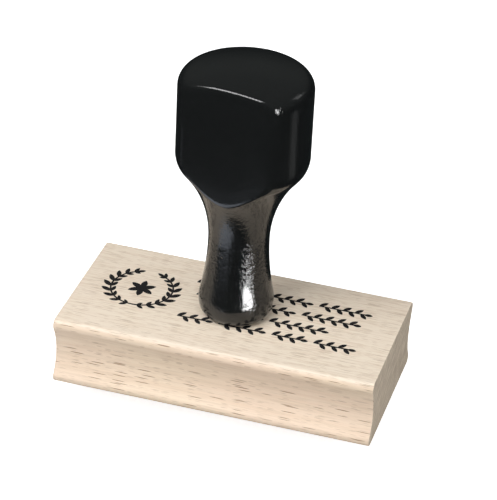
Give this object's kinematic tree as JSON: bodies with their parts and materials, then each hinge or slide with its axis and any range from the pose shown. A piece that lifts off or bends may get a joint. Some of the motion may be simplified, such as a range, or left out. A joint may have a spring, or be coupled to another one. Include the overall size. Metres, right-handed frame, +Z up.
{
  "type": "rubber stamp",
  "caption": "Hand stamp: a turned gloss black knob handle with a thumb flat, screwed to a moulded beech block with a cushioned rubber die underneath.",
  "frame": {"origin": "on the printing plane, under the centre of the block's outline; the handle's axis stands on it", "axes": "+Z up through the handle, +X along the block towards the end of the sprig rows, -Y towards the user and the thumb flat"},
  "size_m": [0.0762, 0.038, 0.0862],
  "materials": {
    "beech": "sanded, unvarnished, fine dark flecks along the block",
    "black_lacquer": "gloss black lacquer on turned hardwood, faint dust and orange peel",
    "screw_steel": "bright zinc plated",
    "black_ink": "matt black ink film",
    "die_rubber": "matt red-brown vulcanised rubber",
    "sponge_rubber": "grey open-skinned sponge with fine pores on its cut edges",
    "adhesive_film": "thin amber mounting film"
  },
  "bodies": {
    "die": {"rubber_die": "die_rubber", "die_adhesive": "adhesive_film", "cushion": "sponge_rubber"},
    "mount": {"mount_block": "beech", "handle": "black_lacquer", "handle_screw": "screw_steel", "index_print": "black_ink", "cushion_adhesive": "adhesive_film"}
  },
  "joints": [
    {"name": "cushion_press", "type": "slide", "parent": "die", "child": "mount", "axis": [0, 0, -1], "range_m": [0, 0.0008], "stiffness_N_per_m": 40000, "deforming": ["cushion"]}
  ]
}
